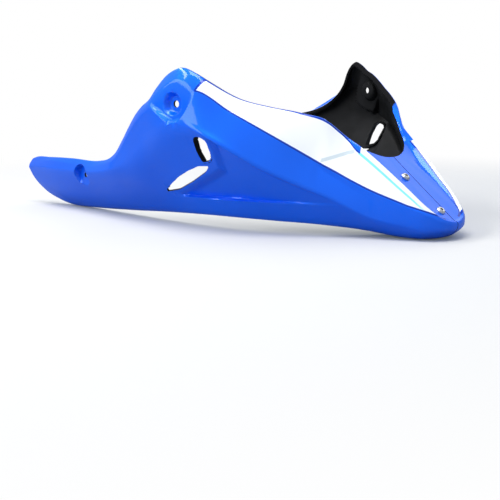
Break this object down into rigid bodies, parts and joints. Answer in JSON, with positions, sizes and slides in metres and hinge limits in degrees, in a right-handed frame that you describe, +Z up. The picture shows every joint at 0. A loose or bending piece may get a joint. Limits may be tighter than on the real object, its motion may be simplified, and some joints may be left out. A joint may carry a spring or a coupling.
{
  "type": "motorcycle belly pan",
  "caption": "Motorcycle belly pan: two painted side shells with vents, recesses and bolt mounts, open on top and joined at a narrow nose by screws.",
  "frame": {"origin": "on the ground, under the middle of the pan's box", "axes": "+X to the front of the motorcycle, +Y to its left, +Z up"},
  "size_m": [0.6309, 0.3692, 0.2005],
  "materials": {
    "painted_shell": "gloss",
    "screw_steel": "satin",
    "nut_steel": "satin"
  },
  "bodies": {
    "root": {"right_side_shell": "painted_shell", "left_side_shell": "painted_shell", "upper_nose_screw": "screw_steel", "lower_nose_screw": "screw_steel", "upper_clip_nut": "nut_steel", "lower_clip_nut": "nut_steel"}
  },
  "joints": []
}
